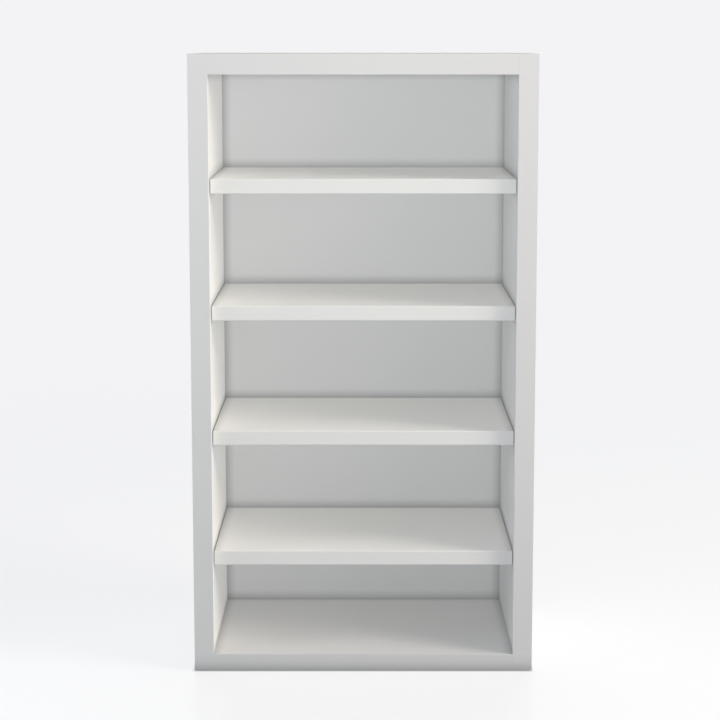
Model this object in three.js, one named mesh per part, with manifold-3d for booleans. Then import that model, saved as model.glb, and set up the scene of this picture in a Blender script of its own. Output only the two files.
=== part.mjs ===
// Bookcase with adjustable shelves, in millimetres.
// +Z is up, the open front faces -Y, and the origin is on the floor under the middle of the case.

import * as THREE from "three";
import { mergeVertices } from "three/addons/utils/BufferGeometryUtils.js";
import Module from "manifold-3d";

const wasm = await Module();
wasm.setup();

// ---------------------------------------------------------------- driving dimensions

// Case
const CASE_WIDTH = 914;
const CASE_DEPTH = 590;
const CASE_HEIGHT = 1657;
const SIDE_THICKNESS = 52;
const TOP_THICKNESS = 53.5;
const BOTTOM_THICKNESS = 44;
const EDGE_ROUND = 2;
const ROUND_STEPS = 3;

// Back panel, in a groove that runs round all four boards
const BACK_THICKNESS = 6;
const BACK_RECESS = 22.5; // from the rear edge of the sides to the rear face of the panel
const GROOVE_DEPTH = 8;
const GROOVE_CLEARANCE = 0.3;

// Shelves
const SHELF_TOPS = [1331, 994, 657, 327]; // height of each upper face, from the top shelf down
const SHELF_THICKNESS = 39.5;
const SHELF_SETBACK = 29.5; // from the front of the case
const SHELF_SIDE_GAP = 1.5;
const SHELF_REAR_GAP = 2;
const SHELF_ROUND = 3;

// Shelf pins, the stopped rebates that hide them, and the rows of holes
const PIN_BARREL_RADIUS = 2.4;
const PIN_BARREL_LENGTH = 8;
const PIN_HEAD_RADIUS = 3.5;
const PIN_HEAD_LENGTH = 7.3;
const PIN_CHAMFER = 0.5;
const PIN_SETBACK = 37; // from the front edge of the shelf to the front row of holes
const REBATE_WIDTH = 15;
const REBATE_HEIGHT = 8;
const REBATE_STOP = 6; // wood left in front of the front pin's centre
const HOLE_RADIUS = 2.6;
const HOLE_DEPTH = 12;
const HOLE_PITCH = 32;
const HOLE_ROW_SPACING = 14 * HOLE_PITCH;
const HOLE_STEPS = [-2, -1, 0, 1, 2]; // holes above and below the one in use, in pitches

// Corner joints: two cam locks and two dowels each
const CAM_RADIUS = 7.3;
const CAM_LENGTH = 12.7;
const CAM_FROM_END = 34;
const CAM_SLOT_LENGTH = 9;
const CAM_SLOT_WIDTH = 1.4;
const CAM_SLOT_DEPTH = 1.5;
const CAM_ROWS = { front: -200, rear: 170 };
const BOLT_FROM_FACE = 9.5; // from the face that the cam is let into to the bolt's axis
const BOLT_THREAD_RADIUS = 2.4;
const BOLT_THREAD_LENGTH = 11;
const BOLT_SHAFT_RADIUS = 3;
const BOLT_COLLAR_RADIUS = 3.7;
const BOLT_COLLAR_LENGTH = 2;
const BOLT_NECK_RADIUS = 1.9;
const BOLT_HEAD_RADIUS = 3.2;
const BOLT_HEAD_LENGTH = 4;
const BOLT_NECK_LENGTH = 4;
const BOLT_BORE_RADIUS = 4.1;
const DOWEL_RADIUS = 3.9;
const DOWEL_CHAMFER = 0.8;
const DOWEL_IN_SIDE = 14;
const DOWEL_IN_BOARD = 20;
const DOWEL_ROWS = { front: -136, rear: 106 };

// Glides under the sides
const GLIDE_RADIUS = 15;
const GLIDE_HEIGHT = 3;
const GLIDE_EDGE = 1;
const GLIDE_NAIL_RADIUS = 1.4;
const GLIDE_NAIL_LENGTH = 12;
const GLIDE_ROWS = { front: -255, rear: 255 };

// Wall brackets in the rear recess
const BRACKET_X = 300;
const BRACKET_WIDTH = 44;
const BRACKET_DROP = 38;
const BRACKET_REACH = 20;
const BRACKET_METAL = 2;
const WALL_HOLE_RADIUS = 2.8;
const WALL_HOLE_DROP = 24;
const SCREW_SPACING = 26;
const SCREW_HEAD_RADIUS = 3.8;
const SCREW_HEAD_HEIGHT = 2.4;
const SCREW_HEAD_FLAT_RADIUS = 2.3;
const SCREW_HEAD_RIM = 1;
const SCREW_POINT_LENGTH = 3;
const SCREW_DRIVE_LENGTH = 3.8;
const SCREW_DRIVE_WIDTH = 0.9;
const SCREW_DRIVE_DEPTH = 1.2;
const SCREW_SHANK_RADIUS = 1.75;
const SCREW_LENGTH = 16;

const FIT = 0.2; // clearance round a fitted piece, on each side
const PAST = 1; // how far a cutter runs past the face it starts from
const ROUND_SIDES = 12;

// ---------------------------------------------------------------- worked out from them

const innerX = CASE_WIDTH / 2 - SIDE_THICKNESS;
const outerX = CASE_WIDTH / 2;
const frontY = -CASE_DEPTH / 2;
const rearY = CASE_DEPTH / 2;
const undersideZ = GLIDE_HEIGHT;
const floorZ = undersideZ + BOTTOM_THICKNESS;
const ceilingZ = CASE_HEIGHT - TOP_THICKNESS;
const backRearY = rearY - BACK_RECESS;
const backFrontY = backRearY - BACK_THICKNESS;
const shelfX = innerX - SHELF_SIDE_GAP;
const shelfFrontY = frontY + SHELF_SETBACK;
const shelfRearY = backFrontY - SHELF_REAR_GAP;
const pinRows = { front: shelfFrontY + PIN_SETBACK };
pinRows.rear = pinRows.front + HOLE_ROW_SPACING;
const shelves = SHELF_TOPS.map((top, i) => ({
  number: i + 1,
  top,
  bottom: top - SHELF_THICKNESS,
  pinZ: top - SHELF_THICKNESS + REBATE_HEIGHT - FIT - PIN_HEAD_RADIUS,
}));
const hands = { left: -1, right: 1 };

// The two boards between the sides. Their cams are let in from below, at faceZ.
const crossBoards = {
  top: { faceZ: ceilingZ, middleZ: ceilingZ + TOP_THICKNESS / 2 },
  bottom: { faceZ: undersideZ, middleZ: undersideZ + BOTTOM_THICKNESS / 2 },
};

// ---------------------------------------------------------------- materials

const materials = {
  board: new THREE.MeshStandardMaterial({ color: 0xe8e7e4, roughness: 0.42, metalness: 0 }),
  back: new THREE.MeshStandardMaterial({ color: 0xe2e2e1, roughness: 0.5, metalness: 0 }),
  pin: new THREE.MeshStandardMaterial({ color: 0xb9bcc0, roughness: 0.3, metalness: 1 }),
  zinc: new THREE.MeshStandardMaterial({ color: 0xa9adb3, roughness: 0.45, metalness: 1 }),
  dowel: new THREE.MeshStandardMaterial({ color: 0xcdab7c, roughness: 0.8, metalness: 0 }),
  glide: new THREE.MeshStandardMaterial({ color: 0x8c8c8a, roughness: 0.6, metalness: 0 }),
  bracket: new THREE.MeshStandardMaterial({ color: 0xc3c6c8, roughness: 0.35, metalness: 1 }),
};

// ---------------------------------------------------------------- solids

// A closed three.js geometry as a solid that can be joined and cut.
function solidOf(geometry) {
  const bare = geometry.clone();
  bare.deleteAttribute("normal");
  bare.deleteAttribute("uv");
  const merged = mergeVertices(bare);
  return new wasm.Manifold(
    new wasm.Mesh({
      numProp: 3,
      vertProperties: merged.getAttribute("position").array,
      triVerts: new Uint32Array(merged.index.array),
    }),
  );
}

// A solid as a three.js geometry with flat-shaded faces.
function geometryOf(solid) {
  const { vertProperties, triVerts } = solid.getMesh();
  const shared = new THREE.BufferGeometry();
  shared.setAttribute("position", new THREE.BufferAttribute(vertProperties, 3));
  shared.setIndex(new THREE.BufferAttribute(triVerts, 1));
  const flat = shared.toNonIndexed();
  flat.computeVertexNormals();
  return flat;
}

// A block between two corners, given in any order.
function block([ax, ay, az], [bx, by, bz]) {
  const box = new THREE.BoxGeometry(Math.abs(bx - ax), Math.abs(by - ay), Math.abs(bz - az));
  return solidOf(box.translate((ax + bx) / 2, (ay + by) / 2, (az + bz) / 2));
}

// A rectangle whose corners at its low u, the front of a board, are rounded.
function frontRounded([u0, u1], [v0, v1], radius) {
  const [low, high] = [Math.min(v0, v1), Math.max(v0, v1)];
  const outline = new THREE.Shape();
  outline.moveTo(u0, low + radius);
  outline.absarc(u0 + radius, low + radius, radius, Math.PI, 1.5 * Math.PI, false);
  outline.lineTo(u1, low);
  outline.lineTo(u1, high);
  outline.absarc(u0 + radius, high - radius, radius, 0.5 * Math.PI, Math.PI, false);
  return outline;
}

// An outline pulled along an axis. Along x it is drawn in (y, z), and along z in (y, -x).
function prism(outline, axis, from, to) {
  const [low, high] = [Math.min(from, to), Math.max(from, to)];
  const options = { depth: high - low, bevelEnabled: false, curveSegments: ROUND_STEPS };
  const geometry = new THREE.ExtrudeGeometry(outline, options).translate(0, 0, low);
  const [x, y, z] = [0, 1, 2].map((i) => new THREE.Vector3().setComponent(i, 1));
  const turn = new THREE.Matrix4();
  if (axis === "x") turn.makeBasis(y, z, x);
  else turn.makeBasis(y, x.negate(), z);
  return solidOf(geometry.applyMatrix4(turn));
}

// A profile of [radius, height] points turned round a line that leaves start in a direction.
function turned(profile, start, direction) {
  const points = profile.map(([radius, height]) => new THREE.Vector2(radius, height));
  const geometry = new THREE.LatheGeometry(points, ROUND_SIDES);
  const up = new THREE.Vector3(0, 1, 0);
  const turn = new THREE.Quaternion().setFromUnitVectors(up, new THREE.Vector3(...direction));
  return solidOf(geometry.applyQuaternion(turn).translate(...start));
}

// A round cutter that begins a little before start and goes in to a depth.
function bore(radius, depth, start, direction) {
  const profile = [[0, -PAST], [radius, -PAST], [radius, depth], [0, depth]];
  return turned(profile, start, direction);
}

function cut(solid, cutters) {
  return cutters.reduce((rest, cutter) => rest.subtract(cutter), solid);
}

// ---------------------------------------------------------------- where the fittings go

const UP = [0, 0, 1];
const outward = (hand) => [hand, 0, 0];
const inward = (hand) => [-hand, 0, 0];

function* cornerJoints(rows) {
  for (const [level, board] of Object.entries(crossBoards)) {
    for (const [side, hand] of Object.entries(hands)) {
      for (const [row, y] of Object.entries(rows)) {
        yield { name: `${level}_${side}_${row}`, level, board, hand, y };
      }
    }
  }
}

const boltStart = ({ board, hand, y }) => [hand * innerX, y, board.faceZ + BOLT_FROM_FACE];
const dowelStart = ({ board, hand, y }) => [hand * innerX, y, board.middleZ];
const camStart = ({ board, hand, y }) => [hand * (innerX - CAM_FROM_END), y, board.faceZ];

const bracketScrewXs = [-1, 1].flatMap((side) =>
  [-0.5, 0.5].map((step) => side * BRACKET_X + step * SCREW_SPACING),
);
const bracketScrewY = rearY - BRACKET_REACH / 2 - BRACKET_METAL / 2;

// ---------------------------------------------------------------- boards

function sidePanel(hand) {
  const outline = frontRounded([frontY, rearY], [-hand * innerX, -hand * outerX], EDGE_ROUND);
  const cutters = [
    block(
      [hand * (innerX - PAST), backFrontY - GROOVE_CLEARANCE, floorZ - GROOVE_DEPTH - FIT],
      [hand * (innerX + GROOVE_DEPTH + FIT), backRearY + GROOVE_CLEARANCE, ceilingZ + GROOVE_DEPTH + FIT],
    ),
  ];
  for (const shelf of shelves) {
    for (const y of Object.values(pinRows)) {
      for (const step of HOLE_STEPS) {
        const mouth = [hand * innerX, y, shelf.pinZ + step * HOLE_PITCH];
        cutters.push(bore(HOLE_RADIUS, HOLE_DEPTH, mouth, outward(hand)));
      }
    }
  }
  for (const joint of cornerJoints(CAM_ROWS)) {
    if (joint.hand !== hand) continue;
    cutters.push(bore(HOLE_RADIUS, HOLE_DEPTH, boltStart(joint), outward(hand)));
  }
  for (const joint of cornerJoints(DOWEL_ROWS)) {
    if (joint.hand !== hand) continue;
    const depth = DOWEL_IN_SIDE + PAST;
    cutters.push(bore(DOWEL_RADIUS + FIT, depth, dowelStart(joint), outward(hand)));
  }
  for (const y of Object.values(GLIDE_ROWS)) {
    const mouth = [hand * (innerX + outerX) / 2, y, undersideZ];
    cutters.push(bore(GLIDE_NAIL_RADIUS + FIT, GLIDE_NAIL_LENGTH + PAST, mouth, UP));
  }
  return cut(prism(outline, "z", undersideZ, CASE_HEIGHT), cutters);
}

// The top or bottom board, with the groove for the back panel in the face that looks into the case.
function crossPanel(level, low, high) {
  const outline = frontRounded([frontY, rearY], [low, high], EDGE_ROUND);
  const [grooveFrom, grooveTo] =
    level === "top" ? [low - PAST, low + GROOVE_DEPTH + FIT] : [high - GROOVE_DEPTH - FIT, high + PAST];
  const cutters = [
    block(
      [-innerX - PAST, backFrontY - GROOVE_CLEARANCE, grooveFrom],
      [innerX + PAST, backRearY + GROOVE_CLEARANCE, grooveTo],
    ),
  ];
  for (const joint of cornerJoints(CAM_ROWS)) {
    if (joint.level !== level) continue;
    cutters.push(bore(CAM_RADIUS + FIT, CAM_LENGTH + PAST, camStart(joint), UP));
    cutters.push(bore(BOLT_BORE_RADIUS, CAM_FROM_END, boltStart(joint), inward(joint.hand)));
  }
  for (const joint of cornerJoints(DOWEL_ROWS)) {
    if (joint.level !== level) continue;
    const depth = DOWEL_IN_BOARD + PAST;
    cutters.push(bore(DOWEL_RADIUS + FIT, depth, dowelStart(joint), inward(joint.hand)));
  }
  if (level === "top") {
    for (const x of bracketScrewXs) {
      cutters.push(bore(SCREW_SHANK_RADIUS + FIT, SCREW_LENGTH, [x, bracketScrewY, low], UP));
    }
  }
  return cut(prism(outline, "x", -innerX, innerX), cutters);
}

function backPanel() {
  const reach = GROOVE_DEPTH - GROOVE_CLEARANCE;
  return block(
    [-innerX - reach, backFrontY, floorZ - reach],
    [innerX + reach, backRearY, ceilingZ + reach],
  );
}

// A shelf: rounded at the front, with a stopped rebate under each end that its pins sit in.
// The rebate is open at the rear, so the shelf can be drawn out over its pins.
function shelfBoard({ top, bottom }) {
  const section = frontRounded([shelfFrontY, shelfRearY], [bottom, top], SHELF_ROUND);
  const plan = frontRounded([shelfFrontY, shelfRearY], [-shelfX, shelfX], SHELF_ROUND);
  const blank = prism(section, "x", -shelfX, shelfX).intersect(prism(plan, "z", bottom, top));
  const rebates = Object.values(hands).map((hand) =>
    block(
      [hand * (shelfX - REBATE_WIDTH), pinRows.front - REBATE_STOP, bottom - PAST],
      [hand * (shelfX + PAST), shelfRearY + PAST, bottom + REBATE_HEIGHT],
    ),
  );
  return cut(blank, rebates);
}

// ---------------------------------------------------------------- fittings

// A stepped steel pin: its barrel in the side, and its head under the shelf.
function shelfPin(hand, y, z) {
  const profile = [
    [0, -PIN_HEAD_LENGTH],
    [PIN_HEAD_RADIUS - PIN_CHAMFER, -PIN_HEAD_LENGTH],
    [PIN_HEAD_RADIUS, PIN_CHAMFER - PIN_HEAD_LENGTH],
    [PIN_HEAD_RADIUS, 0],
    [PIN_BARREL_RADIUS, 0],
    [PIN_BARREL_RADIUS, PIN_BARREL_LENGTH - PIN_CHAMFER],
    [PIN_BARREL_RADIUS - PIN_CHAMFER, PIN_BARREL_LENGTH],
    [0, PIN_BARREL_LENGTH],
  ];
  return turned(profile, [hand * (innerX - FIT), y, z], outward(hand));
}

// A cam lock: a drum, open behind and towards the end of the board for the head of its bolt.
function camLock(joint) {
  const { hand } = joint;
  const [x, y, faceZ] = camStart(joint);
  const profile = [[0, FIT], [CAM_RADIUS, FIT], [CAM_RADIUS, CAM_LENGTH], [0, CAM_LENGTH]];
  const mouthHalf = BOLT_HEAD_RADIUS + 3 * FIT;
  const mouth = block(
    [x - hand * mouthHalf, y - mouthHalf, faceZ + BOLT_FROM_FACE - mouthHalf],
    [x + hand * (CAM_RADIUS + PAST), y + mouthHalf, faceZ + CAM_LENGTH + PAST],
  );
  const slot = block(
    [x - CAM_SLOT_LENGTH / 2, y - CAM_SLOT_WIDTH / 2, faceZ],
    [x + CAM_SLOT_LENGTH / 2, y + CAM_SLOT_WIDTH / 2, faceZ + FIT + CAM_SLOT_DEPTH],
  );
  return cut(turned(profile, [x, y, faceZ], UP), [mouth, slot]);
}

// The bolt that a cam pulls on: thread in the side, then collar, shaft, neck and head.
function camBolt(joint) {
  const headEnd = CAM_FROM_END + BOLT_HEAD_LENGTH / 2;
  const headStart = headEnd - BOLT_HEAD_LENGTH;
  const neckStart = headStart - BOLT_NECK_LENGTH;
  const profile = [
    [0, -BOLT_THREAD_LENGTH],
    [BOLT_THREAD_RADIUS, -BOLT_THREAD_LENGTH],
    [BOLT_THREAD_RADIUS, 0],
    [BOLT_COLLAR_RADIUS, 0],
    [BOLT_COLLAR_RADIUS, BOLT_COLLAR_LENGTH],
    [BOLT_SHAFT_RADIUS, BOLT_COLLAR_LENGTH],
    [BOLT_SHAFT_RADIUS, neckStart],
    [BOLT_NECK_RADIUS, neckStart],
    [BOLT_NECK_RADIUS, headStart],
    [BOLT_HEAD_RADIUS, headStart],
    [BOLT_HEAD_RADIUS, headEnd],
    [0, headEnd],
  ];
  return turned(profile, boltStart(joint), inward(joint.hand));
}

function dowel(joint) {
  const profile = [
    [0, -DOWEL_IN_SIDE],
    [DOWEL_RADIUS - DOWEL_CHAMFER, -DOWEL_IN_SIDE],
    [DOWEL_RADIUS, DOWEL_CHAMFER - DOWEL_IN_SIDE],
    [DOWEL_RADIUS, DOWEL_IN_BOARD - DOWEL_CHAMFER],
    [DOWEL_RADIUS - DOWEL_CHAMFER, DOWEL_IN_BOARD],
    [0, DOWEL_IN_BOARD],
  ];
  return turned(profile, dowelStart(joint), inward(joint.hand));
}

// A glide: a disc on the floor and the nail that holds it in the side.
function glide(hand, y) {
  const nailTop = GLIDE_HEIGHT + GLIDE_NAIL_LENGTH;
  const profile = [
    [0, 0],
    [GLIDE_RADIUS - GLIDE_EDGE, 0],
    [GLIDE_RADIUS, GLIDE_EDGE],
    [GLIDE_RADIUS, GLIDE_HEIGHT],
    [GLIDE_NAIL_RADIUS, GLIDE_HEIGHT],
    [GLIDE_NAIL_RADIUS, nailTop],
    [0, nailTop],
  ];
  return turned(profile, [hand * (innerX + outerX) / 2, y, 0], UP);
}

// A wall bracket: an angle under the top board, with its upright leg flush with the rear of the case.
function wallBracket(hand) {
  const outline = new THREE.Shape();
  outline.moveTo(rearY, ceilingZ);
  outline.lineTo(rearY - BRACKET_REACH, ceilingZ);
  outline.lineTo(rearY - BRACKET_REACH, ceilingZ - BRACKET_METAL);
  outline.lineTo(rearY - 2 * BRACKET_METAL, ceilingZ - BRACKET_METAL);
  outline.lineTo(rearY - BRACKET_METAL, ceilingZ - 2 * BRACKET_METAL);
  outline.lineTo(rearY - BRACKET_METAL, ceilingZ - BRACKET_DROP);
  outline.lineTo(rearY, ceilingZ - BRACKET_DROP);
  outline.closePath();
  const [middle, half] = [hand * BRACKET_X, BRACKET_WIDTH / 2];
  const screwHoles = [-0.5, 0.5].map((step) =>
    bore(
      SCREW_SHANK_RADIUS + FIT,
      BRACKET_METAL + PAST,
      [middle + step * SCREW_SPACING, bracketScrewY, ceilingZ - BRACKET_METAL],
      UP,
    ),
  );
  const wallHole = bore(
    WALL_HOLE_RADIUS,
    BRACKET_METAL + PAST,
    [middle, rearY - BRACKET_METAL, ceilingZ - WALL_HOLE_DROP],
    [0, 1, 0],
  );
  return cut(prism(outline, "x", middle - half, middle + half), [...screwHoles, wallHole]);
}

// A round-headed wood screw that points up into the top board.
function bracketScrew(x) {
  const headTop = ceilingZ - BRACKET_METAL;
  const profile = [
    [0, -SCREW_HEAD_HEIGHT],
    [SCREW_HEAD_FLAT_RADIUS, -SCREW_HEAD_HEIGHT],
    [SCREW_HEAD_RADIUS, -SCREW_HEAD_RIM],
    [SCREW_HEAD_RADIUS, 0],
    [SCREW_SHANK_RADIUS, 0],
    [SCREW_SHANK_RADIUS, SCREW_LENGTH - SCREW_POINT_LENGTH],
    [0, SCREW_LENGTH],
  ];
  const [long, short] = [SCREW_DRIVE_LENGTH / 2, SCREW_DRIVE_WIDTH / 2];
  const face = headTop - SCREW_HEAD_HEIGHT;
  const drive = [[long, short], [short, long]].map(([alongX, alongY]) =>
    block(
      [x - alongX, bracketScrewY - alongY, face - PAST],
      [x + alongX, bracketScrewY + alongY, face + SCREW_DRIVE_DEPTH],
    ),
  );
  return cut(turned(profile, [x, bracketScrewY, headTop], UP), drive);
}

// ---------------------------------------------------------------- the assembly

const bookcase = new THREE.Group();

function place(group, name, solid, material) {
  const mesh = new THREE.Mesh(geometryOf(solid), material);
  mesh.name = name;
  group.add(mesh);
}

const carcass = new THREE.Group();
for (const [side, hand] of Object.entries(hands)) {
  place(carcass, `${side}_side`, sidePanel(hand), materials.board);
}
place(carcass, "top_panel", crossPanel("top", ceilingZ, CASE_HEIGHT), materials.board);
place(carcass, "bottom_panel", crossPanel("bottom", undersideZ, floorZ), materials.board);
place(carcass, "back_panel", backPanel(), materials.back);
bookcase.add(carcass);

const fittings = new THREE.Group();
for (const joint of cornerJoints(CAM_ROWS)) {
  place(fittings, `cam_${joint.name}`, camLock(joint), materials.zinc);
  place(fittings, `cam_bolt_${joint.name}`, camBolt(joint), materials.zinc);
}
for (const joint of cornerJoints(DOWEL_ROWS)) {
  place(fittings, `dowel_${joint.name}`, dowel(joint), materials.dowel);
}
for (const [side, hand] of Object.entries(hands)) {
  for (const [row, y] of Object.entries(GLIDE_ROWS)) {
    place(fittings, `glide_${side}_${row}`, glide(hand, y), materials.glide);
  }
  place(fittings, `wall_bracket_${side}`, wallBracket(hand), materials.bracket);
}
bracketScrewXs.forEach((x, i) => {
  place(fittings, `bracket_screw_${i + 1}`, bracketScrew(x), materials.zinc);
});
bookcase.add(fittings);

for (const shelf of shelves) {
  const level = new THREE.Group();
  place(level, `shelf_${shelf.number}`, shelfBoard(shelf), materials.board);
  for (const [side, hand] of Object.entries(hands)) {
    for (const [row, y] of Object.entries(pinRows)) {
      const name = `pin_${shelf.number}_${side}_${row}`;
      place(level, name, shelfPin(hand, y, shelf.pinZ), materials.pin);
    }
  }
  bookcase.add(level);
}

export default bookcase;
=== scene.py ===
"""The looks of the bookcase: an open white case with four loose shelves on hidden pins.

The CAD parts in model.glb give every place and size. Lengths below are in metres, and MM turns
millimetres into them.
"""

import math

import bmesh
import bpy
from mathutils import Matrix, Vector


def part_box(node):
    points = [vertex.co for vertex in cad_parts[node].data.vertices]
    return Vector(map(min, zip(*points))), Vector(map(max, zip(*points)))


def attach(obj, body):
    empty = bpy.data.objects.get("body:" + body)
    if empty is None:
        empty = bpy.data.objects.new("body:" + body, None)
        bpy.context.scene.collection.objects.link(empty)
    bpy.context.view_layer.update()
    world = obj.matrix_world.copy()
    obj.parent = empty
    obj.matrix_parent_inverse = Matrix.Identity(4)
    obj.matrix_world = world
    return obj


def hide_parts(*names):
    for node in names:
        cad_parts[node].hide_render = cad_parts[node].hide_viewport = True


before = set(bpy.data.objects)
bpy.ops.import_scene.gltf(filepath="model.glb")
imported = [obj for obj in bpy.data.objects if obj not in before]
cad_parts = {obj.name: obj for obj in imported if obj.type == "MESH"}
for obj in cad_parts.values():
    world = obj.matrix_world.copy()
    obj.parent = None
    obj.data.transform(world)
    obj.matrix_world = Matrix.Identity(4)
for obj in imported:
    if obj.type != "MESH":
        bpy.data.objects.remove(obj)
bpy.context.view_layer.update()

MM = 0.001

# ------------------------------------------------------------------ sizes

CASE_EDGE = 0.3 * MM  # rounding of the case boards
END_EDGE = 0.15 * MM  # rounding where a board's end meets a side, which leaves a hairline
SHELF_EDGE = 3.0 * MM
BACK_EDGE = 0.4 * MM
BAND = 1.0 * MM  # thickness of the edging strip on the front edges
SEAM = 0.18 * MM  # width of the line between that strip and the board

SIDES = {"left": -1, "right": 1}
ROWS = ("front", "rear")
LEVELS = ("top", "bottom")
SHELVES = (1, 2, 3, 4)
CORNERS = [f"{level}_{side}_{row}" for level in LEVELS for side in SIDES for row in ROWS]

HOLE_RADIUS = 2.6 * MM
HOLE_DEPTH = 12 * MM
HOLE_PITCH = 32 * MM
HOLE_STEPS = (-2, -1, 0, 1, 2)
HOLE_BREAK = 0.35 * MM  # the broken edge at a hole's mouth
CUT_PAST = 1 * MM  # how far a cutter reaches past the face it cuts

GROOVE_SLACK = 0.3 * MM  # room on each side of the back panel in its grooves
GROOVE_END_SLACK = 0.5 * MM
FITTING_SLACK = 0.2 * MM  # room round a cam or a dowel in its bore
BOLT_BORE = 4.1 * MM  # radius of the bore for a cam bolt's shank
NAIL_BORE = 1.6 * MM
SCREW_BORE = 1.95 * MM
REBATE_WIDTH = 15 * MM  # the rebate under a shelf's end, which hides the pins
REBATE_HEIGHT = 8 * MM
REBATE_LEAD = 6 * MM  # how far the rebate starts in front of the front pin's middle
REBATE_CORNER = 5 * MM

BRACKET_SCREWS = (1, 2, 3, 4)
BRACKET_THICK = 2 * MM
BRACKET_CORNER = 5 * MM  # rounding of the four corners at the ends of a bracket
BRACKET_BORE = 2.05 * MM
BEND_OUTSIDE = 3 * MM
BEND_INSIDE = BEND_OUTSIDE - BRACKET_THICK
BEND_STEPS = 6
WALL_HOLE = 2.8 * MM
WALL_HOLE_DROP = 24 * MM  # from the bracket's top to the middle of its wall hole
DOME_STEPS = 6  # in a bracket screw's round head
THROUGH = 5 * MM  # depth of a hole that goes right through a bracket

PIN_GAP = 0.2 * MM  # between a pin's shoulder and the side
CAM_OPENING = 3.8 * MM  # half the opening through which a cam takes its bolt
CAM_CROSS = Vector((6.2, 1.2, 1.8)) * MM  # length, width and depth of a slot, here and below
CAM_TICKS = Vector((4.4, 0.7, 1.2)) * MM
SCREW_CROSS = Vector((3.8, 0.84, 1.3)) * MM

UP = Vector((0, 0, 1))
SAME = 1e-6  # two places closer than this are one


# ------------------------------------------------------------------ part lookups


def extent(node):
    """The low corner, the high corner and the middle of a node's box."""
    low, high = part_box(node)
    return low, high, (low + high) / 2


def centre(node):
    return extent(node)[2]


def corners_at(word):
    """The case corners whose names hold a word, such as left or top."""
    return [corner for corner in CORNERS if word in corner.split("_")]


LEFT_LOW, LEFT_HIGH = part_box("left_side")
RIGHT_LOW, RIGHT_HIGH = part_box("right_side")
BACK_LOW, BACK_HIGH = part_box("back_panel")
FRONT_Y = LEFT_LOW.y
REAR_Y = LEFT_HIGH.y
INNER_X = RIGHT_LOW.x
CEILING_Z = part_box("top_panel")[0].z
FLOOR_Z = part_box("bottom_panel")[1].z


# ------------------------------------------------------------------ materials

MIX_FIRST, MIX_SECOND, MIX_RESULT = 6, 7, 2  # a mix node's colour sockets, which share names with others


class Tree:
    """A short way to build the node tree of a material or a world."""

    def __init__(self, owner, place):
        owner.use_nodes = True
        self.tree = owner.node_tree
        self.place = self.add("ShaderNodeTexCoord").outputs[place]

    def add(self, kind, **settings):
        node = self.tree.nodes.new(kind)
        for key, value in settings.items():
            setattr(node, key, value)
        return node

    def link(self, source, target):
        self.tree.links.new(source, target)

    def put(self, socket, value):
        """Sets a socket to a value, or links it to an output."""
        if isinstance(value, bpy.types.NodeSocket):
            self.link(value, socket)
        else:
            socket.default_value = value

    def math(self, operation, first, second=0.0):
        node = self.add("ShaderNodeMath", operation=operation)
        self.put(node.inputs[0], first)
        self.put(node.inputs[1], second)
        return node.outputs[0]

    def noise(self, scale, detail, stretch=(1, 1, 1), roughness=0.5):
        mapping = self.add("ShaderNodeMapping")
        self.link(self.place, mapping.inputs["Vector"])
        mapping.inputs["Scale"].default_value = stretch
        node = self.add("ShaderNodeTexNoise")
        self.link(mapping.outputs[0], node.inputs["Vector"])
        node.inputs["Scale"].default_value = scale
        node.inputs["Detail"].default_value = detail
        node.inputs["Roughness"].default_value = roughness
        return node.outputs["Fac"]

    def spread(self, source, low, high, to_low=0.0, to_high=1.0):
        node = self.add("ShaderNodeMapRange")
        self.put(node.inputs["Value"], source)
        node.inputs["From Min"].default_value = low
        node.inputs["From Max"].default_value = high
        node.inputs["To Min"].default_value = to_low
        node.inputs["To Max"].default_value = to_high
        return node.outputs[0]

    def mix(self, factor, first, second):
        node = self.add("ShaderNodeMix", data_type="RGBA")
        self.put(node.inputs["Factor"], factor)
        self.put(node.inputs[MIX_FIRST], first)
        self.put(node.inputs[MIX_SECOND], second)
        return node.outputs[MIX_RESULT]

    def openness(self, reach):
        """How open a spot is to the air around it, from 0 in a deep joint to 1 on an open face."""
        node = self.add("ShaderNodeAmbientOcclusion", samples=8)
        node.inputs["Distance"].default_value = reach
        return node.outputs["AO"]

    def axis(self, letter, vector=None):
        """One number out of a vector, or out of the place if no vector is given."""
        split = self.add("ShaderNodeSeparateXYZ")
        self.link(self.place if vector is None else vector, split.inputs[0])
        return split.outputs[letter]


class Surface(Tree):
    """The node tree of a new material, with its own Principled shader."""

    def __init__(self, name):
        self.material = bpy.data.materials.new(name)
        super().__init__(self.material, "Object")
        self.shader = self.tree.nodes["Principled BSDF"]
        self.output = self.tree.nodes["Material Output"]

    def bump(self, height, distance, strength):
        """Adds a bump on top of any that is there already."""
        node = self.add("ShaderNodeBump")
        self.put(node.inputs["Height"], height)
        node.inputs["Distance"].default_value = distance
        node.inputs["Strength"].default_value = strength
        previous = self.shader.inputs["Normal"].links
        if previous:
            self.link(previous[0].from_socket, node.inputs["Normal"])
        self.link(node.outputs[0], self.shader.inputs["Normal"])


def tone(red, green, blue):
    """A display colour, 0 to 255, as the linear colour that a shader takes."""
    linear = [((c / 255 + 0.055) / 1.055) ** 2.4 for c in (red, green, blue)]
    return (*linear, 1.0)


def scaled(colour, share):
    """A colour made darker, or lighter where share is over 1."""
    return tuple(min(1.0, c * share) for c in colour[:3]) + (1.0,)


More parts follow.
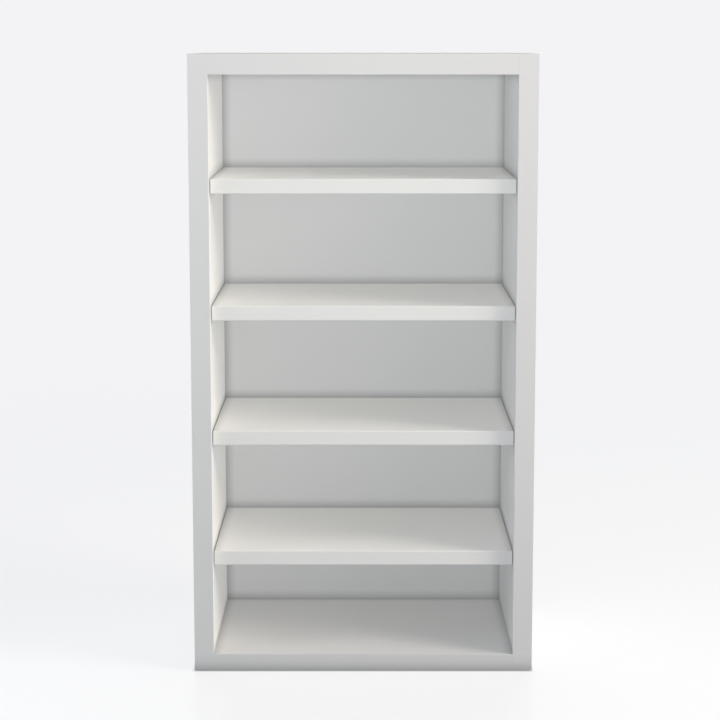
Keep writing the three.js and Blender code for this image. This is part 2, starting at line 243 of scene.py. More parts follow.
def white_lacquer(name, colour, front_y, front_corner_shaded=True, painted_light_colour=None):
    """Satin white board: faint clouding, a fine sprayed texture, rubbed patches and an edging seam.

    It has shade painted into its colour in deep corners and near the floor. Its front switch, when false,
    keeps front faces clear of the painted corner shade, and its high colour is a paler tone that takes
    over with height: painted light, brighter towards the top.
    """
    n = Surface(name)
    painted_shade_colour = scaled(colour, CORNER_SHADE)
    clouds = n.spread(n.noise(2.6, 4.0), 0.35, 0.65)
    base = n.mix(n.math("MULTIPLY", clouds, 0.5), colour, scaled(colour, CLOUD_SHADE))
    # painted light: the board gets paler towards the top, where more light reaches it
    if painted_light_colour:
        height = n.spread(n.axis("Z"), FADE_LOW, CEILING_Z)
        base = n.mix(n.math("POWER", height, FADE_POWER), base, painted_light_colour)
    behind = n.math("SUBTRACT", n.axis("Y"), front_y + BAND)
    seam = n.math("LESS_THAN", n.math("ABSOLUTE", behind), SEAM / 2)
    base = n.mix(n.math("MULTIPLY", seam, 0.6), base, scaled(colour, SEAM_SHADE))
    # painted shade: the colour darkens in deep corners and joints, where less light reaches
    unshaded = n.spread(n.openness(CORNER_REACH), 0.1, 1.0)
    if not front_corner_shaded:
        normal = n.add("ShaderNodeNewGeometry").outputs["Normal"]
        unshaded = n.math("MAXIMUM", unshaded, n.math("MULTIPLY", n.axis("Y", normal), -1.0))
    base = n.mix(unshaded, painted_shade_colour, base)
    # painted shade: the colour darkens towards the floor
    floor_shade = n.spread(n.axis("Z"), LEFT_LOW.z, FLOOR_Z, LOW_SHADE, 0.0)
    base = n.mix(floor_shade, base, painted_shade_colour)
    n.link(base, n.shader.inputs["Base Color"])
    rubbed = n.spread(n.noise(7.0, 5.0, roughness=0.6), 0.3, 0.7, 0.44, 0.56)
    streaks = n.spread(n.noise(60.0, 3.0, (0.12, 1, 1)), 0.4, 0.6, -0.02, 0.02)
    n.link(n.math("ADD", rubbed, streaks), n.shader.inputs["Roughness"])
    n.shader.inputs["Specular IOR Level"].default_value = 0.35
    n.bump(n.noise(420.0, 2.0), 0.02 * MM, 0.5)
    n.bump(n.noise(38.0, 2.0), 0.12 * MM, 0.35)
    return n.material


def raw_board(name):
    """The core that shows in drilled holes and grooves: pressed wood fibre with darker flecks."""
    n = Surface(name)
    flecks = n.spread(n.noise(900.0, 4.0, roughness=0.7), 0.38, 0.66)
    base = n.mix(flecks, tone(204, 186, 162), tone(168, 146, 118))
    n.link(base, n.shader.inputs["Base Color"])
    n.shader.inputs["Roughness"].default_value = 0.85
    n.shader.inputs["Specular IOR Level"].default_value = 0.2
    n.bump(flecks, 0.15 * MM, 0.6)
    return n.material


def fibreboard_rear(name):
    """The unpainted rear of the back panel: hardboard with fine fibres and a screen's faint weave."""
    n = Surface(name)
    fibres = n.spread(n.noise(320.0, 5.0, (1, 1, 0.35), 0.65), 0.35, 0.68)
    patches = n.spread(n.noise(5.0, 3.0), 0.3, 0.7)
    base = n.mix(fibres, tone(160, 126, 92), tone(134, 101, 70))
    base = n.mix(n.math("MULTIPLY", patches, 0.35), base, tone(146, 114, 84))
    n.link(base, n.shader.inputs["Base Color"])
    n.shader.inputs["Roughness"].default_value = 0.72
    n.shader.inputs["Specular IOR Level"].default_value = 0.3
    weave_x = n.math("SINE", n.math("MULTIPLY", n.axis("X"), 2 * math.pi / WEAVE))
    weave_z = n.math("SINE", n.math("MULTIPLY", n.axis("Z"), 2 * math.pi / WEAVE))
    n.bump(n.math("MULTIPLY", weave_x, weave_z), 0.05 * MM, 0.5)
    n.bump(fibres, 0.06 * MM, 0.6)
    return n.material


def metal(name, colour, roughness, grain_scale, grain_stretch, grain_depth):
    """Plated or cast metal: its colour mottled a little, and a grain that roughens and dents it."""
    n = Surface(name)
    mottle = n.math("MULTIPLY", n.spread(n.noise(180.0, 4.0), 0.35, 0.7), 0.6)
    n.link(n.mix(mottle, colour, scaled(colour, 0.72)), n.shader.inputs["Base Color"])
    n.shader.inputs["Metallic"].default_value = 1.0
    grain = n.noise(grain_scale, 3.0, grain_stretch)
    low, high = roughness
    n.link(n.spread(grain, 0.3, 0.7, low, high), n.shader.inputs["Roughness"])
    n.bump(grain, grain_depth, 0.5)
    return n.material


def beech(name):
    """Beech, with its short dark flecks along the grain, which runs along x."""
    n = Surface(name)
    grain = n.spread(n.noise(420.0, 4.0, (0.08, 1, 1), 0.6), 0.35, 0.65)
    flecks = n.spread(n.noise(1500.0, 2.0, (0.12, 1, 1)), 0.6, 0.72)
    base = n.mix(grain, tone(216, 176, 126), tone(192, 148, 100))
    base = n.mix(n.math("MULTIPLY", flecks, 0.6), base, tone(140, 98, 62))
    n.link(base, n.shader.inputs["Base Color"])
    n.shader.inputs["Roughness"].default_value = 0.68
    n.bump(grain, 0.08 * MM, 0.6)
    return n.material


def moulded_plastic(name, colour):
    """Moulded glide plastic: matt, finely pitted and scuffed."""
    n = Surface(name)
    scuffs = n.spread(n.noise(90.0, 4.0), 0.4, 0.7)
    scuffed = n.mix(n.math("MULTIPLY", scuffs, 0.5), colour, scaled(colour, 1.35))
    n.link(scuffed, n.shader.inputs["Base Color"])
    n.link(n.spread(scuffs, 0.0, 1.0, 0.48, 0.66), n.shader.inputs["Roughness"])
    n.bump(n.noise(1600.0, 2.0), 0.03 * MM, 0.5)
    return n.material


CORNER_REACH = 28 * MM  # how far from a corner the painted corner shade reaches
CORNER_SHADE = 0.45  # shades are shares of the board's own colour
CLOUD_SHADE = 0.965
SEAM_SHADE = 0.86
LOW_SHADE = 0.35  # how much of the painted corner shade the lacquer takes at its lowest: painted shade near the floor
WEAVE = 1.4 * MM
CASE_WHITE = tone(221, 219, 219)
SHELF_WHITE = tone(236, 234, 232)
BACK_WHITE = tone(234, 234, 235)
# the back panel's paler tone at the top is painted light
BACK_WHITE_PAINTED_LIGHT = tone(245, 245, 246)
FADE_LOW = 0.75  # height in metres above which painted light makes the back panel paler
FADE_POWER = 1.5

SHELF_FRONT_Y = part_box("shelf_1")[0].y
MATERIALS = {
    "case": white_lacquer("case_white", CASE_WHITE, FRONT_Y),
    "shelf": white_lacquer("shelf_white", SHELF_WHITE, SHELF_FRONT_Y, front_corner_shaded=False),
    "back": white_lacquer("back_white", BACK_WHITE, FRONT_Y, painted_light_colour=BACK_WHITE_PAINTED_LIGHT),
    "raw": raw_board("raw_core"),
    "rear": fibreboard_rear("back_panel_rear"),
    "nickel": metal("nickel_plate", (0.62, 0.6, 0.56, 1), (0.2, 0.34), 700, (0.1, 1, 1), 0.01 * MM),
    "zinc_cast": metal("cast_zinc", (0.45, 0.46, 0.48, 1), (0.42, 0.6), 900, (1, 1, 1), 0.03 * MM),
    "zinc_plate": metal("zinc_plate", (0.62, 0.65, 0.7, 1), (0.28, 0.42), 500, (1, 1, 1), 0.01 * MM),
    "bracket": metal("bracket_plate", (0.6, 0.62, 0.65, 1), (0.26, 0.42), 260, (1, 1, 0.2), 0.02 * MM),
    "beech": beech("beech"),
    "glide": moulded_plastic("glide_grey", tone(122, 122, 120)),
}


# ------------------------------------------------------------------ mesh building


def mesh_object(name, bm):
    """Makes an object of a bmesh, and uses the bmesh up."""
    mesh = bpy.data.meshes.new(name)
    bm.to_mesh(mesh)
    bm.free()
    obj = bpy.data.objects.new(name, mesh)
    bpy.context.scene.collection.objects.link(obj)
    return obj


def piece(name, bm, materials, body, replaced):
    """Makes a piece of the bookcase, and sets it to ride on its body in place of its CAD node."""
    bmesh.ops.recalc_face_normals(bm, faces=bm.faces[:])
    obj = mesh_object(name, bm)
    for key in materials:
        obj.data.materials.append(MATERIALS[key])
    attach(obj, body)
    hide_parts(replaced)
    return obj


def rounded_box(low, high, radius, ends=None, steps=4):
    """A box with rounded edges. ends is a smaller rounding for the edges round its two x ends."""
    bm = bmesh.new()
    bmesh.ops.create_cube(bm, size=1)
    size = high - low
    for vert in bm.verts:
        vert.co = low + Vector((c + 0.5) * s for c, s in zip(vert.co, size))
    if ends is not None:
        along_x = [e for e in bm.edges if abs(e.verts[0].co.x - e.verts[1].co.x) > radius]
        soften(bm, along_x, radius, steps)
        at_ends = [e for e in bm.edges if abs(e.verts[0].co.x - e.verts[1].co.x) < END_EDGE / 4]
        soften(bm, at_ends, ends, 2)
    else:
        soften(bm, bm.edges[:], radius, steps)
    return bm


def soften(bm, edges, radius, steps):
    bmesh.ops.bevel(
        bm, geom=edges, offset=radius, segments=steps, profile=0.5, affect="EDGES", clamp_overlap=True
    )


def lathe(bm, profile, start, direction, sides):
    """Adds a solid turned round a line. profile is (radius, height) points, from the line back to it."""
    turn = UP.rotation_difference(Vector(direction)).to_matrix().to_4x4()
    place = Matrix.Translation(start) @ turn
    rings = []
    for radius, height in profile:
        count = 1 if radius == 0 else sides
        ring = []
        for i in range(count):
            angle = 2 * math.pi * i / sides
            spot = Vector((radius * math.cos(angle), radius * math.sin(angle), height))
            ring.append(bm.verts.new(place @ spot))
        rings.append(ring)
    for lower, upper in zip(rings, rings[1:]):
        for i in range(sides):
            corners = [
                lower[i % len(lower)],
                lower[(i + 1) % len(lower)],
                upper[(i + 1) % len(upper)],
                upper[i % len(upper)],
            ]
            corners = list(dict.fromkeys(corners))
            if len(corners) > 2:
                bm.faces.new(corners)


def box_into(bm, low, high):
    """Adds a plain box between two corners, given in any order."""
    made = bmesh.ops.create_cube(bm, size=1)
    low, high = Vector(map(min, low, high)), Vector(map(max, low, high))
    for vert in made["verts"]:
        vert.co = low + Vector((c + 0.5) * s for c, s in zip(vert.co, high - low))


def hole_cutter(bm, radius, depth, mouth, direction):
    """Adds a cutter for a blind hole with a broken edge at its mouth and a drill's shallow cone below."""
    profile = [
        (0, -CUT_PAST),
        (radius + HOLE_BREAK + CUT_PAST, -CUT_PAST),
        (radius, HOLE_BREAK),
        (radius, depth - radius * 0.25),
        (0, depth),
    ]
    lathe(bm, profile, mouth, direction, 24)


def carve(obj, cutter_bm, material="raw"):
    """Cuts the cutter's shapes out of a piece, and gives the cut faces a material of their own."""
    bmesh.ops.recalc_face_normals(cutter_bm, faces=cutter_bm.faces[:])
    cutter = mesh_object(obj.name + "_cutter", cutter_bm)
    cutter.data.materials.append(MATERIALS[material])
    modifier = obj.modifiers.new("carve", "BOOLEAN")
    modifier.operation = "DIFFERENCE"
    modifier.solver = "EXACT"
    modifier.material_mode = "TRANSFER"
    modifier.object = cutter
    graph = bpy.context.evaluated_depsgraph_get()
    carved = bpy.data.meshes.new_from_object(obj.evaluated_get(graph))
    obj.modifiers.clear()
    obj.data = carved
    bpy.data.objects.remove(cutter)


def carve_bars(obj, place, size, angles, material):
    """Cuts straight slots one by one across the underside of a piece, turned about a point on it."""
    for angle in angles:
        bar = bmesh.new()
        box_into(bar, (-size.x / 2, -size.y / 2, -CUT_PAST), (size.x / 2, size.y / 2, size.z))
        turn = Matrix.Rotation(math.radians(angle), 4, "Z")
        bmesh.ops.transform(bar, matrix=Matrix.Translation(place) @ turn, verts=bar.verts[:])
        carve(obj, bar, material)


def finish_surface(obj, angle=32.0):
    """Smooth shading between sharp edges, with normals weighted by area so that flat faces stay flat."""
    sharp = math.cos(math.radians(angle))
    bm = bmesh.new()
    bm.from_mesh(obj.data)
    for face in bm.faces:
        face.smooth = True
    for edge in bm.edges:
        faces = edge.link_faces
        edge.smooth = len(faces) == 2 and faces[0].normal.dot(faces[1].normal) > sharp
    bm.to_mesh(obj.data)
    bm.free()
    weighted = obj.modifiers.new("weighted", "WEIGHTED_NORMAL")
    weighted.keep_sharp = True
    weighted.weight = 100


# ------------------------------------------------------------------ boards


def side_panel(side, hand):
    """A side with its shelf-pin holes, its bores for bolts, dowels and glides, and its back groove."""
    node = f"{side}_side"
    low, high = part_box(node)
    bm = rounded_box(low, high, CASE_EDGE)
    obj = piece(f"{side}_side_board", bm, ["case"], "case", node)
    cutter = bmesh.new()
    outward = Vector((hand, 0, 0))
    inner = hand * INNER_X
    for shelf in SHELVES:
        for row in ROWS:
            pin = centre(f"pin_{shelf}_{side}_{row}")
            for step in HOLE_STEPS:
                mouth = Vector((inner, pin.y, pin.z + step * HOLE_PITCH))
                hole_cutter(cutter, HOLE_RADIUS, HOLE_DEPTH, mouth, outward)
    for corner in corners_at(side):
        bolt = centre(f"cam_bolt_{corner}")
        hole_cutter(cutter, HOLE_RADIUS, HOLE_DEPTH, Vector((inner, bolt.y, bolt.z)), outward)
        peg_low, peg_high, peg = extent(f"dowel_{corner}")
        radius = (peg_high.z - peg_low.z) / 2 + FITTING_SLACK
        reach = max(abs(peg_low.x), abs(peg_high.x)) - INNER_X + CUT_PAST
        hole_cutter(cutter, radius, reach, Vector((inner, peg.y, peg.z)), outward)
    for row in ROWS:
        _, nail_end, nail = extent(f"glide_{side}_{row}")
        mouth = Vector((nail.x, nail.y, low.z))
        hole_cutter(cutter, NAIL_BORE, nail_end.z - low.z + CUT_PAST, mouth, UP)
    outer = hand * (BACK_HIGH.x + GROOVE_END_SLACK)
    box_into(
        cutter,
        Vector((inner - hand * CUT_PAST, BACK_LOW.y - GROOVE_SLACK, BACK_LOW.z - GROOVE_END_SLACK)),
        Vector((outer, BACK_HIGH.y + GROOVE_SLACK, BACK_HIGH.z + GROOVE_END_SLACK)),
    )
    carve(obj, cutter)
    finish_surface(obj)


def cross_panel(level):
    """The top or bottom board with its bores for cams, bolts and dowels, and its back groove."""
    node = f"{level}_panel"
    low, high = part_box(node)
    bm = rounded_box(low, high, CASE_EDGE, END_EDGE)
    obj = piece(f"{level}_board", bm, ["case"], "case", node)
    cutter = bmesh.new()
    for corner in corners_at(level):
        cam_low, cam_high, cam = extent(f"cam_{corner}")
        hand = math.copysign(1, cam.x)
        radius = (cam_high.x - cam_low.x) / 2 + FITTING_SLACK
        hole_cutter(cutter, radius, cam_high.z - low.z + CUT_PAST, Vector((cam.x, cam.y, low.z)), UP)
        bolt = centre(f"cam_bolt_{corner}")
        end = Vector((hand * INNER_X, bolt.y, bolt.z))
        hole_cutter(cutter, BOLT_BORE, abs(end.x - cam.x), end, (-hand, 0, 0))
        peg_low, peg_high, peg = extent(f"dowel_{corner}")
        depth = INNER_X - min(abs(peg_low.x), abs(peg_high.x)) + CUT_PAST
        mouth = Vector((hand * INNER_X, peg.y, peg.z))
        radius = (peg_high.z - peg_low.z) / 2 + FITTING_SLACK
        hole_cutter(cutter, radius, depth, mouth, (-hand, 0, 0))
    if level == "top":
        for number in BRACKET_SCREWS:
            _, screw_end, screw = extent(f"bracket_screw_{number}")
            hole_cutter(cutter, SCREW_BORE, screw_end.z - low.z, Vector((screw.x, screw.y, low.z)), UP)
        mouth_z, end_z = low.z - CUT_PAST, BACK_HIGH.z
    else:
        mouth_z, end_z = high.z + CUT_PAST, BACK_LOW.z
    box_into(
        cutter,
        Vector((low.x - CUT_PAST, BACK_LOW.y - GROOVE_SLACK, mouth_z)),
        Vector((high.x + CUT_PAST, BACK_HIGH.y + GROOVE_SLACK, end_z)),
    )
    carve(obj, cutter)
    finish_surface(obj)


def back_panel():
    """The thin panel at the back, lacquered on its front and bare elsewhere."""
    bm = rounded_box(BACK_LOW, BACK_HIGH, BACK_EDGE, steps=2)
    for face in bm.faces:
        face.material_index = 0 if face.normal.y < -0.5 else 1
    finish_surface(piece("back_board", bm, ["back", "rear"], "case", "back_panel"))


def shelf_board(number):
    """A shelf with a rebate under each end, which goes over the pins."""
    node = f"shelf_{number}"
    low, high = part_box(node)
    bm = rounded_box(low, high, SHELF_EDGE, steps=5)
    obj = piece(f"{node}_board", bm, ["shelf"], node, node)
    cutter = bmesh.new()
    for side, hand in SIDES.items():
        pin = centre(f"pin_{number}_{side}_front")
        start = Vector((hand * (high.x - REBATE_WIDTH), pin.y - REBATE_LEAD, low.z - CUT_PAST))
        end = Vector((hand * (high.x + CUT_PAST), high.y + CUT_PAST, low.z + REBATE_HEIGHT))
        box_into(cutter, start, end)
        inner_corner = [
            edge
            for edge in cutter.edges
            if all(abs(v.co.x - start.x) < SAME and abs(v.co.y - start.y) < SAME for v in edge.verts)
        ]
        soften(cutter, inner_corner, REBATE_CORNER, 6)
    carve(obj, cutter, "shelf")
    finish_surface(obj)


# ------------------------------------------------------------------ fittings


def shelf_pin(number, side, row):
    """A turned steel pin: a grooved barrel in the side's hole, and a thicker head under the shelf."""
    node = f"pin_{number}_{side}_{row}"
    low, high, mid = extent(node)
    hand = SIDES[side]
    head = (high.z - low.z) / 2
    shoulder = INNER_X - PIN_GAP
    barrel = max(abs(low.x), abs(high.x)) - shoulder
    grip = shoulder - min(abs(low.x), abs(high.x))
    profile = [
        (0, -grip),
        (head - 0.6 * MM, -grip),
        (head - 0.15 * MM, 0.15 * MM - grip),
        (head, 0.6 * MM - grip),
        (head, -3.6 * MM),
        (head - 0.35 * MM, -3.4 * MM),
        (head - 0.35 * MM, -2.8 * MM),
        (head, -2.6 * MM),
        (head, -0.25 * MM),
        (head - 0.25 * MM, 0),
        (2.4 * MM, 0),
        (2.4 * MM, 2.2 * MM),
        (2.2 * MM, 2.35 * MM),
        (2.2 * MM, 2.75 * MM),
        (2.4 * MM, 2.9 * MM),
        (2.4 * MM, barrel - 0.8 * MM),
        (1.7 * MM, barrel),
        (0, barrel),
    ]
    bm = bmesh.new()
    lathe(bm, profile, Vector((hand * shoulder, mid.y, mid.z)), (hand, 0, 0), 32)
    finish_surface(piece(f"{node}_steel", bm, ["nickel"], node, node), 38)


def cam_lock(corner):
    """A cast drum, open towards its bolt. Its underside has a cross slot with short ticks between."""
    node = f"cam_{corner}"
    low, high, mid = extent(node)
    hand = math.copysign(1, mid.x)
    radius = (high.x - low.x) / 2
    length = high.z - low.z
    profile = [
        (0, 0),
        (radius - 1.3 * MM, 0),
        (radius - 1.1 * MM, 0.12 * MM),
        (radius - 0.6 * MM, 0),
        (radius - 0.2 * MM, 0),
        (radius, 0.3 * MM),
        (radius, length - 0.4 * MM),
        (radius - 0.4 * MM, length),
        (0, length),
    ]
    bm = bmesh.new()
    lathe(bm, profile, Vector((mid.x, mid.y, low.z)), UP, 48)
    obj = piece(f"{node}_drum", bm, ["zinc_cast"], "case", node)
    bolt = centre(f"cam_bolt_{corner}")
    cutter = bmesh.new()
    box_into(
        cutter,
        (mid.x - hand * CAM_OPENING, mid.y - CAM_OPENING, bolt.z - CAM_OPENING),
        (mid.x + hand * (radius + CUT_PAST), mid.y + CAM_OPENING, high.z + CUT_PAST),
    )
    carve(obj, cutter, "zinc_cast")
    face = Vector((mid.x, mid.y, low.z))
    carve_bars(obj, face, CAM_CROSS, (0, 90), "zinc_cast")
    carve_bars(obj, face, CAM_TICKS, (45, 135), "zinc_cast")
    finish_surface(obj)


def threaded(root, crest, start, end, pitch):
    """Profile points of a thread drawn as rings, from start to end along the axis."""
    points = []
    turns = max(1, int((end - start) / pitch))
    step = (end - start) / turns
    for i in range(turns):
        height = start + i * step
        points.append((root, height + 0.1 * step))
        points.append((crest, height + 0.5 * step))
        points.append((root, height + 0.9 * step))
    return points


def cam_bolt(corner):
    """A bolt screwed into the side, with a collar, a shank and the necked tip that the cam grips."""
    node = f"cam_bolt_{corner}"
    low, high, mid = extent(node)
    hand = math.copysign(1, mid.x)
    thread = max(abs(low.x), abs(high.x)) - INNER_X
    reach = INNER_X - min(abs(low.x), abs(high.x))
    profile = [(0, -thread), (1.6 * MM, -thread)]
    profile += threaded(1.9 * MM, 2.45 * MM, -thread + 0.6 * MM, 0, 1.6 * MM)
    profile += [
        (2.4 * MM, 0),
        (3.7 * MM, 0.1 * MM),
        (3.7 * MM, 1.7 * MM),
        (3.2 * MM, 2.0 * MM),
        (3.0 * MM, 2.2 * MM),
        (3.0 * MM, reach - 9 * MM),
        (1.9 * MM, reach - 7.6 * MM),
        (1.9 * MM, reach - 4 * MM),
        (2.9 * MM, reach - 3.4 * MM),
        (3.2 * MM, reach - 2.2 * MM),
        (3.0 * MM, reach - 0.8 * MM),
        (2.2 * MM, reach),
        (0, reach),
    ]
    bm = bmesh.new()
    lathe(bm, profile, Vector((hand * INNER_X, mid.y, mid.z)), (-hand, 0, 0), 24)
    finish_surface(piece(f"{node}_steel", bm, ["zinc_plate"], "case", node), 50)


def dowel(corner):
    """A fluted dowel with chamfered ends."""
    node = f"dowel_{corner}"
    low, high, mid = extent(node)
    radius = (high.z - low.z) / 2
    flutes, points = 18, 72
    stations = [(low.x, 0.78), (low.x + 1.2 * MM, 1.0), (high.x - 1.2 * MM, 1.0), (high.x, 0.78)]
    bm = bmesh.new()
    rings = []
    for x, share in stations:
        ring = []
        for i in range(points):
            angle = 2 * math.pi * i / points
            groove = 0.05 * max(0.0, math.cos(flutes * angle)) ** 3
            r = radius * share * (1 - groove)
            ring.append(bm.verts.new((x, mid.y + r * math.cos(angle), mid.z + r * math.sin(angle))))
        rings.append(ring)
    for lower, upper in zip(rings, rings[1:]):
        for i in range(points):
            j = (i + 1) % points
            bm.faces.new((lower[i], lower[j], upper[j], upper[i]))
    bm.faces.new(rings[0][::-1])
    bm.faces.new(rings[-1])
    finish_surface(piece(f"{node}_peg", bm, ["beech"], "case", node), 40)


def glide(side, row):
    """A round glide with a dished foot, and a nail that holds it in the side."""
    node = f"glide_{side}_{row}"
    low, high, mid = extent(node)
    radius = (high.x - low.x) / 2
    rim = LEFT_LOW.z
    profile = [
        (0, 0.9 * MM),
        (2.6 * MM, 0.9 * MM),
        (3.0 * MM, 0.25 * MM),
        (3.6 * MM, 0),
        (radius - 1.4 * MM, 0),
        (radius - 0.7 * MM, 0.25 * MM),
        (radius - 0.2 * MM, 0.8 * MM),
        (radius, 1.5 * MM),
        (radius, rim - 0.2 * MM),
        (radius - 0.2 * MM, rim),
        (1.4 * MM, rim),
        (1.4 * MM, high.z - 3 * MM),
        (0, high.z),
    ]
    bm = bmesh.new()
    lathe(bm, profile, Vector((mid.x, mid.y, 0)), UP, 48)
    finish_surface(piece(f"{node}_disc", bm, ["glide"], "case", node), 40)


def wall_bracket(side):
    """A pressed steel angle with a rounded bend, two screw holes above and a wall hole behind."""
    node = f"wall_bracket_{side}"
    low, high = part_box(node)
    quarter = [math.pi / 2 * i / BEND_STEPS for i in range(BEND_STEPS + 1)]
    bend_y, bend_z = high.y - BEND_OUTSIDE, high.z - BEND_OUTSIDE
    outline = [(low.y, high.z)]
    for angle in reversed(quarter):
        outline.append((bend_y + BEND_OUTSIDE * math.cos(angle), bend_z + BEND_OUTSIDE * math.sin(angle)))
    outline += [(high.y, low.z), (high.y - BRACKET_THICK, low.z)]
    for angle in quarter:
        outline.append((bend_y + BEND_INSIDE * math.cos(angle), bend_z + BEND_INSIDE * math.sin(angle)))
    outline.append((low.y, high.z - BRACKET_THICK))
    bm = bmesh.new()
    ends = [[bm.verts.new((x, y, z)) for y, z in outline] for x in (low.x, high.x)]
    count = len(outline)
    for i in range(count):
        j = (i + 1) % count
        bm.faces.new((ends[0][i], ends[0][j], ends[1][j], ends[1][i]))
    bm.faces.new(ends[0])
    bm.faces.new(ends[1][::-1])
    corner_edges = [
        edge
        for edge in bm.edges
        if abs(edge.verts[0].co.x - edge.verts[1].co.x) < SAME
        and (
            all(abs(v.co.z - low.z) < SAME for v in edge.verts)
            or all(abs(v.co.y - low.y) < SAME for v in edge.verts)
        )
    ]
    soften(bm, corner_edges, BRACKET_CORNER, 6)
    obj = piece(f"{node}_angle", bm, ["bracket"], "case", node)
    cutter = bmesh.new()
    for number in BRACKET_SCREWS:
        screw = centre(f"bracket_screw_{number}")
        if low.x < screw.x < high.x:
            mouth = Vector((screw.x, screw.y, high.z - BRACKET_THICK))
            hole_cutter(cutter, BRACKET_BORE, THROUGH, mouth, UP)
    mouth = Vector(((low.x + high.x) / 2, high.y - BRACKET_THICK, high.z - WALL_HOLE_DROP))
    hole_cutter(cutter, WALL_HOLE, THROUGH, mouth, (0, 1, 0))
    carve(obj, cutter, "bracket")
    finish_surface(obj)


def bracket_screw(number):
    """A round-headed wood screw with a cross recess, driven up through a bracket."""
    node = f"bracket_screw_{number}"
    low, high, mid = extent(node)
    head = (high.x - low.x) / 2
    length = high.z - low.z
    seat = CEILING_Z - BRACKET_THICK - low.z
    profile = [(0, 0)]
    for i in range(1, DOME_STEPS + 1):
        angle = math.pi / 2 * i / DOME_STEPS
        profile.append((head * math.sin(angle) ** 0.8, (seat - 0.5 * MM) * (1 - math.cos(angle))))
    profile += [(head, seat), (1.75 * MM, seat)]
    profile += threaded(1.3 * MM, 1.8 * MM, seat + 2.5 * MM, length - 3 * MM, 1.5 * MM)
    profile.append((0, length))
    bm = bmesh.new()
    lathe(bm, profile, Vector((mid.x, mid.y, low.z)), UP, 32)
    obj = piece(f"{node}_steel", bm, ["zinc_plate"], "case", node)
    carve_bars(obj, Vector((mid.x, mid.y, low.z)), SCREW_CROSS, (0, 90), "zinc_plate")
    finish_surface(obj, 45)


for side_name, side_hand in SIDES.items():
    side_panel(side_name, side_hand)
    wall_bracket(side_name)
    for row_name in ROWS:
        glide(side_name, row_name)
for level_name in LEVELS:
    cross_panel(level_name)
back_panel()
for corner_name in CORNERS:
    cam_lock(corner_name)
    cam_bolt(corner_name)
    dowel(corner_name)
for screw_number in BRACKET_SCREWS:
    bracket_screw(screw_number)
for shelf_number in SHELVES:
    shelf_board(shelf_number)
    for side_name in SIDES:
        for row_name in ROWS:
            shelf_pin(shelf_number, side_name, row_name)


# ------------------------------------------------------------------ studio

BACKDROP_RADIUS = 40
FLOOR_RADIUS = 7.0
FADE_FROM, FADE_TO = 2.4, 5.0  # the seen floor fades out between these distances
FLOOR_GAP = 0.2 * MM  # the floor lies this far under the glides
BACKDROP_TONE = tone(243, 243, 245)
FLOOR_TONE = (0.99, 0.99, 1.0, 1)
BOUNCE_TONE = (0.44, 0.475, 0.495, 1)
GLOW_STRENGTH = 1.1
CONTACT = 8 * MM  # the glow fades out this close round the case, where its shade falls
FLOOR_GLOW = 0.6  # the share of the seen floor that is even glow, and hides its horizon


def disc(name, depth):
    """A floor disc, which isn't part of the object."""
    bm = bmesh.new()
    bmesh.ops.create_circle(bm, cap_ends=True, radius=FLOOR_RADIUS, segments=96)
    bmesh.ops.translate(bm, vec=(0, 0, -depth), verts=bm.verts[:])
    floor = mesh_object(name, bm)
    return floor


def seen_floor():
    """The pale, slightly glossy floor that the camera sees. It fades out far from the case."""
    floor = disc("studio_floor", FLOOR_GAP)
    n = Surface("studio_floor")
    n.shader.inputs["Base Color"].default_value = (0.8, 0.8, 0.8, 1)
    n.shader.inputs["Roughness"].default_value = 0.22
    glow = n.add("ShaderNodeEmission")
    glow.inputs["Color"].default_value = FLOOR_TONE
    glow.inputs["Strength"].default_value = GLOW_STRENGTH
    beside = n.math("SUBTRACT", n.math("ABSOLUTE", n.axis("X")), RIGHT_HIGH.x)
    before = n.math("SUBTRACT", n.math("ABSOLUTE", n.axis("Y")), REAR_Y)
    away = n.spread(n.math("MAXIMUM", beside, before), 0.0, CONTACT)
    lit = n.add("ShaderNodeMixShader")
    n.link(n.math("MULTIPLY", away, FLOOR_GLOW), lit.inputs[0])
    n.link(n.shader.outputs[0], lit.inputs[1])
    n.link(glow.outputs[0], lit.inputs[2])
    length = n.add("ShaderNodeVectorMath", operation="LENGTH")
    n.link(n.place, length.inputs[0])
    fade = n.spread(length.outputs["Value"], FADE_FROM, FADE_TO)
    below = n.add("ShaderNodeNewGeometry").outputs["Backfacing"]
    blend = n.add("ShaderNodeMixShader")
    n.link(n.math("MAXIMUM", fade, below), blend.inputs[0])
    n.link(lit.outputs[0], blend.inputs[1])
    n.link(n.add("ShaderNodeBsdfTransparent").outputs[0], blend.inputs[2])
    n.link(blend.outputs[0], n.output.inputs["Surface"])
    floor.data.materials.append(n.material)
    floor.visible_diffuse = False
    floor.visible_glossy = False
    floor.visible_shadow = False


def bounce_floor():
    """The floor as light sees it: an even soft glow from below."""
    floor = disc("studio_floor_bounce", 2 * FLOOR_GAP)
    floor.data.materials.append(glow_material("studio_floor_bounce", BOUNCE_TONE))
    floor.visible_camera = False


def glow_material(name, colour):
    """A plain even glow, which light doesn't change."""
    material = bpy.data.materials.new(name)
    material.use_nodes = True
    tree = material.node_tree
    tree.nodes.clear()
    glow = tree.nodes.new("ShaderNodeEmission")
    glow.inputs["Color"].default_value = colour
    output = tree.nodes.new("ShaderNodeOutputMaterial")
    tree.links.new(glow.outputs[0], output.inputs["Surface"])
    return material


def backdrop():
    """A plain pale backdrop all round, which only the camera sees."""
    bm = bmesh.new()
    bmesh.ops.create_icosphere(bm, subdivisions=3, radius=BACKDROP_RADIUS)
    shell = mesh_object("studio_backdrop", bm)
    shell.data.materials.append(glow_material("studio_backdrop", BACKDROP_TONE))
    shell.visible_diffuse = False
    shell.visible_glossy = False
    shell.visible_shadow = False
    shell.visible_transmission = False


def aimed(name, data, place, towards):
    """Adds a light at a place, pointing along a direction."""
    light = bpy.data.objects.new(name, data)
    bpy.context.scene.collection.objects.link(light)
    light.location = place
    light.rotation_euler = Vector(towards).to_track_quat("-Z", "Y").to_euler()
    return light


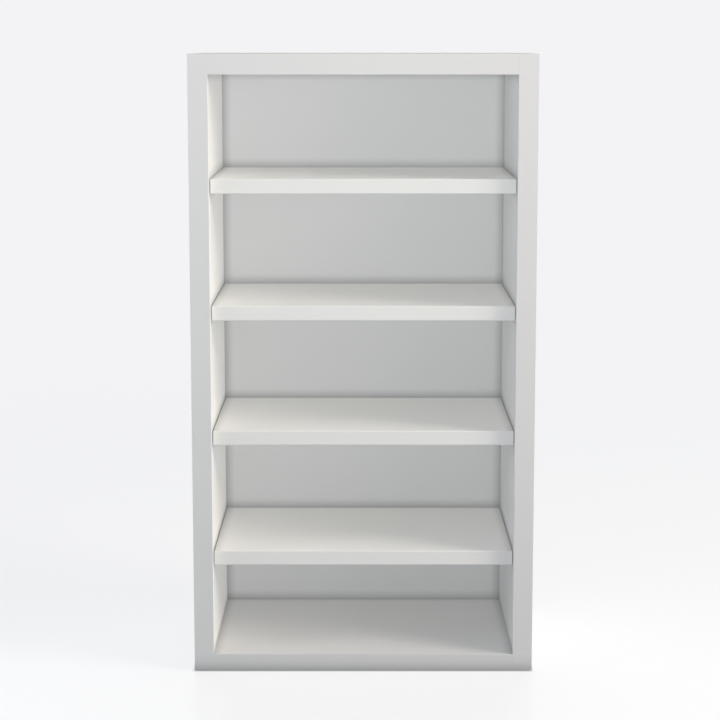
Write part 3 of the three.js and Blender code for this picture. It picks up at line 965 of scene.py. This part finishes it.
def softbox(name, place, size, power, colour, shadow=True):
    """A square soft light aimed at the case. Without shadow it has no highlight either."""
    data = bpy.data.lights.new(name, "AREA")
    data.shape = "SQUARE"
    data.size = size
    data.energy = power
    data.color = colour
    data.use_shadow = shadow
    data.cycles.cast_shadow = shadow
    light = aimed(name, data, place, CASE_MIDDLE - Vector(place))
    light.visible_glossy = shadow


def fill(name, towards, strength, colour):
    """Even light from one side, as a white studio throws back: no shadow and no highlight of its own."""
    data = bpy.data.lights.new(name, "SUN")
    data.energy = strength
    data.angle = FILL_ANGLE
    data.color = colour
    data.use_shadow = False
    data.cycles.cast_shadow = False
    light = aimed(name, data, (0, 0, 0), towards)
    light.visible_glossy = False


def studio_world(front_colour, rear_colour):
    """Even light from all round, stronger from behind, where it reaches only the case's top and back."""
    world = bpy.data.worlds.new("studio")
    n = Tree(world, "Generated")
    off_sides = n.math("SUBTRACT", n.axis("Y"), n.math("ABSOLUTE", n.axis("X")))
    behind = n.spread(off_sides, 0.0, REAR_RAMP)
    mixed = n.mix(behind, (*front_colour, 1), (*rear_colour, 1))
    n.link(mixed, n.tree.nodes["Background"].inputs["Color"])
    bpy.context.scene.world = world


WHITE = (1.0, 1.0, 1.0)
FILL_ANGLE = math.radians(40)
REAR_RAMP = 0.3  # how gradually the world's light goes over to its rear colour
CASE_MIDDLE = Vector((0, FRONT_Y, (LEFT_LOW.z + LEFT_HIGH.z) / 2))

seen_floor()
bounce_floor()
backdrop()
studio_world((0.138, 0.148, 0.182), (0.9, 0.92, 0.95))
softbox("key", (8.0, -4.8, 4.3), 2.6, 219, (1.0, 0.98, 0.83))
softbox("key_low", (7.5, -2.9, 2.4), 2.4, 122, (1.0, 0.82, 0.78))
softbox("key_high", (7.0, -2.2, 5.2), 2.6, 201, (1.0, 0.96, 0.83))
softbox("left", (-2.0, -1.0, 1.2), 0.8, 8.8, (0.91, 0.95, 1.0))
softbox("overhead", (0, -1.6, 2.6), 1.0, 10.4, (0.99, 0.99, 0.96), shadow=False)
softbox("front", (0, -3.0, 2.0), 1.0, 10.8, (0.88, 1.0, 0.95), shadow=False)
softbox("front_right", (1.6, -1.6, 1.2), 1.0, 5.2, (1.0, 0.92, 0.96), shadow=False)
fill("fill_right", (-1, 0, 0), 1.185, (0.96, 1.0, 0.94))
fill("fill_left", (1, 0, 0), 0.425, (0.8, 0.95, 1.0))
fill("fill_rear", (0, -1, 0), 0.6, WHITE)

# ------------------------------------------------------------------ camera

CAMERA_DISTANCE = 5.361  # from the front of the case
CAMERA_HEIGHT = 1.681
CAMERA_PITCH = 8.77  # degrees below level
CAMERA_LENS = 102.3
CAMERA_SENSOR = 36
CAMERA_SHIFT = -0.0045

camera_data = bpy.data.cameras.new("camera")
camera_data.lens = CAMERA_LENS
camera_data.sensor_width = CAMERA_SENSOR
camera_data.shift_x = CAMERA_SHIFT
camera = bpy.data.objects.new("camera", camera_data)
bpy.context.scene.collection.objects.link(camera)
camera.location = (0, FRONT_Y - CAMERA_DISTANCE, CAMERA_HEIGHT)
camera.rotation_euler = (math.radians(90 - CAMERA_PITCH), 0, 0)
bpy.context.scene.camera = camera
bpy.context.scene.view_settings.view_transform = "Standard"
